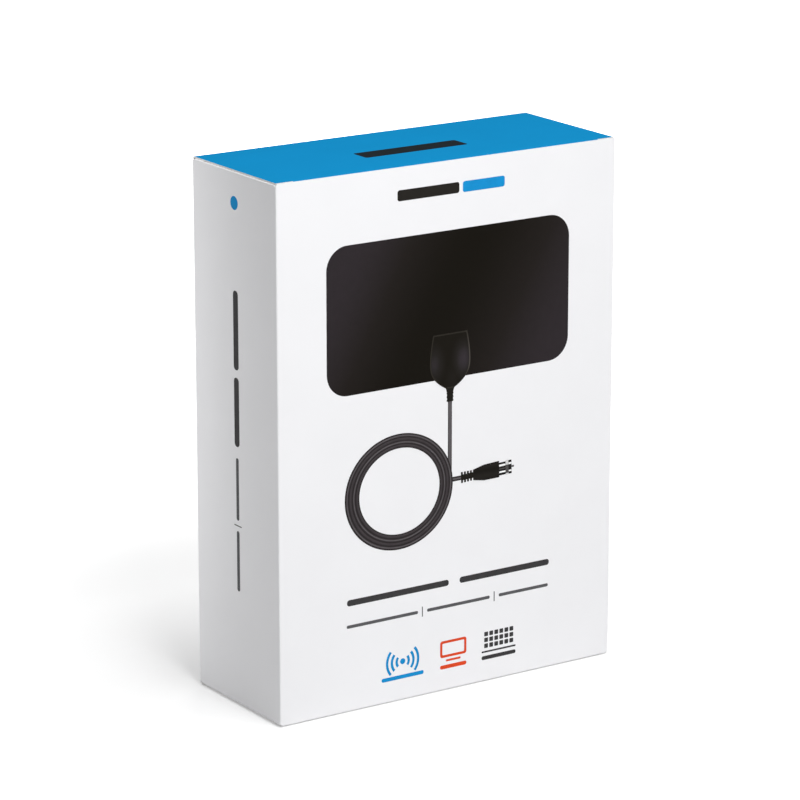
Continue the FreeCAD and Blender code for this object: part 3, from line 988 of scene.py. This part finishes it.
def ring_sizes(count, first_radius, pitch, width, layer=FIRST_LAYER, squash=1.0, drift=(0.0, 0.0)):
    """The inputs of rings given in millimetres; the lower half of a ring's rise lies in the board."""
    return {
        "Count": count,
        "First Radius": first_radius * MM,
        "Pitch": pitch * MM,
        "Width": width * MM,
        "Rise": 2 * layer * INK_LAYER,
        "Squash": squash,
        "Drift": (drift[0] * MM, drift[1] * MM, 0.0),
    }


def grid_tree(name):
    """Rounded tiles of ink in columns and rows; their height can shrink from one column to the next."""
    grower = Grower(name)
    columns, rows = grower.sizes("Int", "Columns", "Rows")
    pitch, width, height = grower.sizes("Float", "Pitch", "Width", "Height")
    radius, rise, shrink = grower.sizes("Float", "Corner", "Rise", "Shrink")
    section = grower.node("GeometryNodeCurvePrimitiveQuadrilateral", Width=width, Height=height)
    soft = grower.node(
        "GeometryNodeFilletCurve", {"mode": "POLY"},
        Curve=section, Radius=radius, Count=TILE_CORNER_STEPS,
    )
    top = grower.node("ShaderNodeCombineXYZ", Z=rise)
    stem = grower.node("GeometryNodeCurvePrimitiveLine", End=top)
    tile = grower.node("GeometryNodeCurveToMesh", Curve=stem, Profile_Curve=soft, Fill_Caps=True)
    count = grower.math("MULTIPLY", columns, rows)
    points = grower.node("GeometryNodeMeshLine", Count=count)
    index = grower.node("GeometryNodeInputIndex")
    column = grower.math("MODULO", index, columns)
    row = grower.math("FLOOR", grower.math("DIVIDE", index, columns), 0.0)
    place = grower.node(
        "ShaderNodeCombineXYZ",
        X=grower.math("MULTIPLY", column, pitch), Y=grower.math("MULTIPLY", row, pitch),
    )
    spread = grower.node("GeometryNodeSetPosition", Geometry=points, Position=place)
    lower = grower.math("SUBTRACT", 1.0, grower.math("MULTIPLY", column, shrink))
    scale = grower.node("ShaderNodeCombineXYZ", X=1.0, Y=lower, Z=1.0)
    tiles = grower.node("GeometryNodeInstanceOnPoints", Points=spread, Instance=tile, Scale=scale)
    return grower.end(tiles)


def grid_sizes(columns, rows, pitch, width, height, corner, layer=FIRST_LAYER, shrink=0.0):
    """The inputs of a grid of tiles given in millimetres, which rise from the root of the ink."""
    return {
        "Columns": columns,
        "Rows": rows,
        "Pitch": pitch * MM,
        "Width": width * MM,
        "Height": height * MM,
        "Corner": corner * MM,
        "Rise": INK_ROOT + layer * INK_LAYER,
        "Shrink": shrink,
    }


def grown(name, tree, sizes, material, face, spot, body):
    """The tree's result as a plain mesh on a face, with its own origin at the spot (u, v, lift)."""
    draft = bpy.data.objects.new(name + "_draft", bpy.data.meshes.new(name + "_draft"))
    bpy.context.scene.collection.objects.link(draft)
    grow = draft.modifiers.new("grow", "NODES")
    grow.node_group = tree
    sockets = {item.name: item.identifier for item in tree.interface.items_tree if item.in_out == "INPUT"}
    for label, value in sizes.items():
        grow[sockets[label]] = value
    grow[sockets["Material"]] = material
    piece = settled(draft, name)
    piece.data.transform(face.matrix() @ Matrix.Translation(spot))
    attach(piece, body)


# The print's pieces

def header_bar():
    """A dark bar and a blue one, side by side above the picture."""
    piece = InkPiece("front_header_bar", FRONT, "carton")
    piece.film(bar(*HEADER_DARK_BAR), inks["black"])
    piece.film(bar(*HEADER_BLUE_BAR), inks["blue"])
    piece.done()


def picture_panel():
    """The picture's dark panel, a wide rectangle with round corners."""
    left, foot, right, top, _ = PANEL
    piece = InkPiece("picture_panel", FRONT, "carton")
    piece.film(bar(*PANEL), panel_ink(front_place(left, foot), front_place(right, top)))
    piece.done()


def housing_half(v):
    """Half the housing's width at a height: widening to its shoulder, then closing in to its neck."""
    if v >= HOUSING_SHOULDER:
        share = (HOUSING_TOP - v) / (HOUSING_TOP - HOUSING_SHOULDER)
        return HOUSING_TOP_HALF + (HOUSING_HALF - HOUSING_TOP_HALF) * math.sin(share * math.pi / 2)
    share = (HOUSING_SHOULDER - v) / (HOUSING_SHOULDER - HOUSING_FOOT)
    return HOUSING_NECK_HALF + (HOUSING_HALF - HOUSING_NECK_HALF) * (1 - share ** HOUSING_TAPER)


def housing_outline(inset):
    heights = []
    for step in range(HOUSING_STEPS + 1):
        swing = math.sin(math.pi / 2 * step / HOUSING_STEPS)
        heights.append(HOUSING_TOP - inset - swing * (HOUSING_TOP - HOUSING_FOOT - 2 * inset))
    left = [(HOUSING_MIDDLE - housing_half(v) + inset, v) for v in heights]
    right = [(HOUSING_MIDDLE + housing_half(v) - inset, v) for v in reversed(heights)]
    return left + right


def picture_housing():
    """The housing with a line round it, and under it the relief: a funnel crossed by ribs."""
    middle = HOUSING_MIDDLE
    patches = [(front_place(u, v), reach * MM, strength) for u, v, reach, strength in HOUSING_PATCHES]
    left, _ = front_place(middle - HOUSING_HALF, 0)
    right, _ = front_place(middle + HOUSING_HALF, 0)
    piece = InkPiece("picture_housing", FRONT, "carton")
    piece.film(housing_outline(HOUSING_LINE / 2), housing_ink(patches), MIDDLE_LAYER)
    piece.border(housing_outline(0), housing_outline(HOUSING_LINE), edge_ink(left, right), TOP_LAYER)
    funnel = [(middle + half, RELIEF_FOOT + rise) for half, rise in RELIEF_FUNNEL]
    funnel += [(middle - half, RELIEF_FOOT + rise) for half, rise in reversed(RELIEF_FUNNEL)]
    piece.film(funnel, inks["rubber"], LOW_LAYER)
    piece.done()
    ribs = grid_sizes(**RELIEF_RIBS, layer=MIDDLE_LAYER)
    spot = (middle * MM, (RELIEF_FOOT + RELIEF_FIRST_RIB) * MM, -INK_ROOT)
    grown("picture_relief_ribs", grid_tree("relief_ribs"), ribs, inks["rubber"], FRONT, spot, "carton")


def picture_lead():
    """The lead: down from the housing to the coil, which lies over its end, and out of it to the plug."""
    middle = HOUSING_MIDDLE
    plug_start, level = PLUG_ROOT

    def upright(half):
        return bar(middle - half, LEAD_FOOT, middle + half, RELIEF_FOOT + LEAD_IN_RELIEF, LEAD_CORNER)

    def lying(half):
        return bar(middle, level - half, plug_start + LEAD_IN_PLUG, level + half, LEAD_CORNER)

    piece = InkPiece("picture_lead", FRONT, "carton")
    piece.film(upright(LEAD_HALF), inks["lead_strand"])
    piece.film(upright(LEAD_SHEEN_HALF), inks["lead_sheen"], SHEEN_LAYER)
    piece.film(lying(LEAD_HALF), inks["lead"])
    piece.film(lying(PLUG_LEAD_SHEEN_HALF), inks["lead_sheen"], SHEEN_LAYER)
    piece.done()


def coil_centre(ring):
    return COIL_CENTRE[0] + ring * COIL_DRIFT[0], COIL_CENTRE[1] + ring * COIL_DRIFT[1]


def coil_strands(label, first, step, width, layer, material):
    """Rings along the middle of every strand of the coil (a step of 1), or of every second one (2)."""
    strands = ring_sizes(
        COIL_STRANDS // step, COIL_INNER + (first + 0.5) * COIL_PITCH, step * COIL_PITCH, width, layer,
        COIL_SQUASH, (step * COIL_DRIFT[0], step * COIL_DRIFT[1]),
    )
    u, v = coil_centre(first)
    tree = ring_tree("lead_" + label, closed=True)
    grown("picture_coil_" + label, tree, strands, material, FRONT, (u * MM, v * MM, 0), "carton")


def picture_coil():
    """The coiled lead: a dark band, paler strands side by side on it, and a sheen on every second strand."""
    inner = COIL_INNER - COIL_RIM
    outer = COIL_INNER + COIL_STRANDS * COIL_PITCH + COIL_RIM
    near = oval(coil_centre(0), inner, COIL_SQUASH * inner, COIL_STEPS)
    far = oval(coil_centre(COIL_STRANDS - 1), outer, COIL_SQUASH * outer, COIL_STEPS)
    band = InkPiece("picture_coil", FRONT, "carton")
    band.border(far, near, inks["lead"], LOW_LAYER)
    band.done()
    coil_strands("strands", 0, 1, STRAND_WIDTH, MIDDLE_LAYER, inks["lead_strand"])
    coil_strands("sheen", 1, 2, STRAND_SHEEN_WIDTH, TOP_LAYER, inks["lead_sheen"])


def picture_plug():
    """The plug: a ribbed neck, a body that widens from it, and a steel sleeve, nut and pin."""
    ribs = grid_sizes(**PLUG_RIBS, layer=MIDDLE_LAYER)
    spot = (PLUG_FIRST_RIB * MM, 0, -INK_ROOT)
    grown("picture_plug_ribs", grid_tree("plug_ribs"), ribs, inks["rubber"], PLUG, spot, "carton")
    piece = InkPiece("picture_plug", PLUG, "carton")
    piece.film(bar(*PLUG_CORE), inks["rubber"], LOW_LAYER)
    level = PLUG_ROOT[1]
    body_ink = plug_ink((level - PLUG_BODY_BELOW) * MM, (level + PLUG_BODY_ABOVE) * MM)
    body = [(along, -half) for along, half in PLUG_BODY]
    body += [(along, half) for along, half in reversed(PLUG_BODY)]
    piece.film(body, body_ink, TOP_LAYER)
    steel = [(place, "dark_steel", LOW_LAYER) for place in PLUG_DARK_STEEL]
    steel += [(place, "steel_glint", MIDDLE_LAYER) for place in PLUG_GLINTS]
    steel += [(PLUG_NUT, "steel", MIDDLE_LAYER), (PLUG_NUT_BAND, "nut_band", TOP_LAYER)]
    steel += [(place, "core_line", MIDDLE_LAYER) for place in (PLUG_CORE_LINE, PLUG_PIN)]
    for place, ink, layer in steel:
        piece.film(bar(*place, STEEL_CORNER), inks[ink], layer)
    piece.done()


def front_lines():
    """Two dark bars, and under them three grey ones parted by ticks."""
    piece = InkPiece("front_lines", FRONT, "carton")
    line_of_bars(piece, TITLE_SPANS, TITLE_MIDDLE, TITLE_HEIGHT, inks["slate"])
    line_of_bars(piece, DETAIL_SPANS, DETAIL_MIDDLE, DETAIL_HEIGHT, inks["grey"])
    for tick in DETAIL_TICKS:
        piece.film(bar(*tick), inks["grey"])
    piece.done()


def signal_badge():
    """A dot between arcs that spread to both sides, over a rule."""
    tree = ring_tree("signal_arcs", closed=False)
    spot = (SIGNAL_CENTRE[0] * MM, SIGNAL_CENTRE[1] * MM, 0)
    arcs = ring_sizes(**SIGNAL_ARCS)
    arcs["Sweep"] = math.radians(SIGNAL_SWEEP)
    for label, middle in (("right", 0), ("left", 180)):
        arcs["Start Angle"] = math.radians(middle - SIGNAL_SWEEP / 2)
        grown("badge_arcs_" + label, tree, arcs, inks["blue"], FRONT, spot, "carton")
    piece = InkPiece("badge_signal", FRONT, "carton")
    piece.film(disc(SIGNAL_CENTRE, SIGNAL_DOT_RADIUS), inks["blue"])
    piece.film(bar(*SIGNAL_RULE), inks["blue"])
    piece.done()


def screen_badge():
    """A screen on its stand, over a rule."""
    piece = InkPiece("badge_screen", FRONT, "carton")
    piece.border(bar(*SCREEN_OUTER), bar(*SCREEN_INNER), inks["orange"])
    piece.film(bar(*SCREEN_STAND), inks["orange"])
    piece.film(bar(*SCREEN_RULE), inks["orange"])
    piece.done()


def tile_badge():
    """A grid of tiles over a thin rule and a thicker one."""
    u, v = TILES_START
    spot = (u * MM, v * MM, -INK_ROOT)
    grown("badge_tiles", grid_tree("badge_tiles"), grid_sizes(**TILES), inks["slate"], FRONT, spot, "carton")
    piece = InkPiece("badge_rules", FRONT, "carton")
    piece.film(bar(*TILES_THIN_RULE), inks["slate"])
    piece.film(bar(*TILES_RULE), inks["slate"])
    piece.done()


def side_print():
    """The left side: a small blue disc above a column of upright bars."""
    piece = InkPiece("side_lines", LEFT, "carton")
    piece.film(disc(SIDE_DISC_CENTRE, SIDE_DISC_RADIUS), inks["blue"])
    for place in SIDE_DARK_BARS:
        piece.film(bar(*place), inks["slate"])
    for place in (*SIDE_GREY_BARS, SIDE_TICK):
        piece.film(bar(*place), inks["grey"])
    piece.done()


def lid_print():
    """One dark bar across the middle of the lid."""
    piece = InkPiece("lid_bar", TOP, "lid")
    piece.film(bar(*LID_BAR), lid_ink)
    piece.done()


# Studio

def studio_stage():
    """The floor that the carton stands on."""
    size = FLOOR_HALF
    mesh = bpy.data.meshes.new("studio_floor")
    corners = [(-size, -size, 0), (size, -size, 0), (size, size, 0), (-size, size, 0)]
    mesh.from_pydata(corners, [], [(0, 1, 2, 3)])
    mesh.materials.append(studio_floor())
    floor = bpy.data.objects.new("studio_floor", mesh)
    bpy.context.scene.collection.objects.link(floor)


def studio_world():
    """A white surround to look at, dimmer as a source of light."""
    world = bpy.data.worlds.new("studio")
    bpy.context.scene.world = world
    world.use_nodes = True
    wiring = Wiring(world.node_tree)
    background = wiring.tree.nodes["Background"].inputs
    wiring.feed(background["Color"], WHITE_LIGHT)
    strength = wiring.span(wiring.seen_rays(), 0.0, 1.0, WORLD_LIGHT, 1.0, smooth=False)
    wiring.feed(background["Strength"], strength)


def hang_lamp(name, lamp, place, target):
    holder = bpy.data.objects.new(name, lamp)
    holder.location = place
    holder.rotation_euler = (Vector(target) - Vector(place)).to_track_quat("-Z", "Y").to_euler()
    holder.visible_camera = False
    bpy.context.scene.collection.objects.link(holder)


def soft_lamp(name, place, target, size, power):
    """A wide, even panel of light."""
    lamp = bpy.data.lights.new(name, "AREA")
    lamp.shape = "RECTANGLE"
    lamp.size, lamp.size_y = size
    lamp.energy = power
    hang_lamp(name, lamp, place, target)


def side_lamp():
    """A low beam past the back of the left side; its soft rim brightens that side towards its rear edge."""
    lamp = bpy.data.lights.new("side_lamp", "SPOT")
    lamp.spot_size = SIDE_ANGLE
    lamp.spot_blend = 1.0
    lamp.shadow_soft_size = SIDE_RADIUS
    lamp.energy = SIDE_POWER
    hang_lamp("side_lamp", lamp, SIDE_PLACE, SIDE_TARGET)


def photo_camera():
    """The photograph's view: from the front and left, a little above."""
    yaw = math.radians(CAMERA_YAW)
    pitch = math.radians(CAMERA_PITCH)
    back = Vector((math.sin(yaw) * math.cos(pitch), -math.cos(yaw) * math.cos(pitch), math.sin(pitch)))
    target = Vector((CAMERA_ASIDE * math.cos(yaw), CAMERA_ASIDE * math.sin(yaw), CAMERA_HEIGHT))
    lens = bpy.data.cameras.new("photo_camera")
    lens.lens = CAMERA_LENS
    lens.sensor_width = CAMERA_SENSOR
    camera = bpy.data.objects.new("photo_camera", lens)
    camera.location = target + back * CAMERA_DISTANCE
    camera.rotation_euler = (-back).to_track_quat("-Z", "Y").to_euler()
    bpy.context.scene.collection.objects.link(camera)
    bpy.context.scene.camera = camera


# The carton and its lid, on the bodies that the imported model has, in place of its own carton and lid parts
white = coated_board("white_coated_board", **WHITE_BOARD)
blue = coated_board("blue_coated_board", **BLUE_BOARD)
inside = inner_board()
edge = cut_edge()

carton = carton_sheet(white, inside, edge)
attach(carton, "carton")
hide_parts("carton_body")

lid = lid_sheet(white, inside, edge, blue)
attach(lid, "lid")
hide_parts("lid")

inks = {name: flat_ink(name + "_ink", screen) for name, screen in INK_TONES.items()}
lid_ink = flat_ink("lid_ink", LID_INK_TONE, gloss=0.0)
header_bar()
picture_panel()
picture_housing()
picture_lead()
picture_coil()
picture_plug()
front_lines()
signal_badge()
screen_badge()
tile_badge()
side_print()
lid_print()

studio_stage()
studio_world()
soft_lamp("key_lamp", **KEY_LAMP)
soft_lamp("front_lamp", **FRONT_LAMP)
soft_lamp("rear_lamp", **REAR_LAMP)
side_lamp()
photo_camera()
bpy.context.scene.view_settings.view_transform = "Standard"
